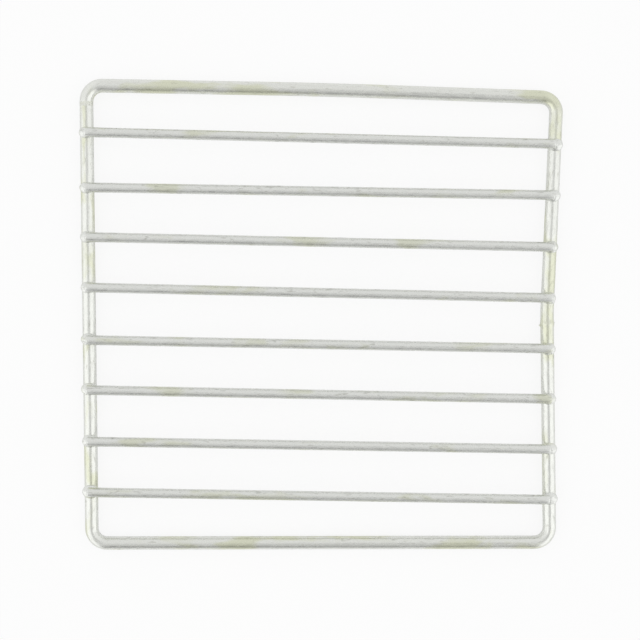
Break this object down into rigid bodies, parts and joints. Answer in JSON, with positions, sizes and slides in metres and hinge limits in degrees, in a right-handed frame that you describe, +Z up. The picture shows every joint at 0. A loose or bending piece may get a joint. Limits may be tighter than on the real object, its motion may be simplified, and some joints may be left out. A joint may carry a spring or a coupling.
{
  "type": "barbecue grill mesh",
  "caption": "Rectangular wire grill: a closed frame of thick wire with rounded corners, and parallel thinner bars welded across on top.",
  "frame": {"origin": "middle of the outer box, on the underside that the frame wire rests on", "axes": "+X along the bars to the right, +Y to the rear, +Z up, from the frame wire to the bars"},
  "size_m": [0.197, 0.1914, 0.0087],
  "materials": {
    "frame_plating": "bright zinc plating, slightly mottled, pale yellow stains and a rust spot",
    "bar_plating": "bright zinc plating, mottled and slightly dulled"
  },
  "bodies": {
    "root": {"frame_wire": "frame_plating", "bar_1": "bar_plating", "bar_2": "bar_plating", "bar_3": "bar_plating", "bar_4": "bar_plating", "bar_5": "bar_plating", "bar_6": "bar_plating", "bar_7": "bar_plating", "bar_8": "bar_plating"}
  },
  "joints": []
}
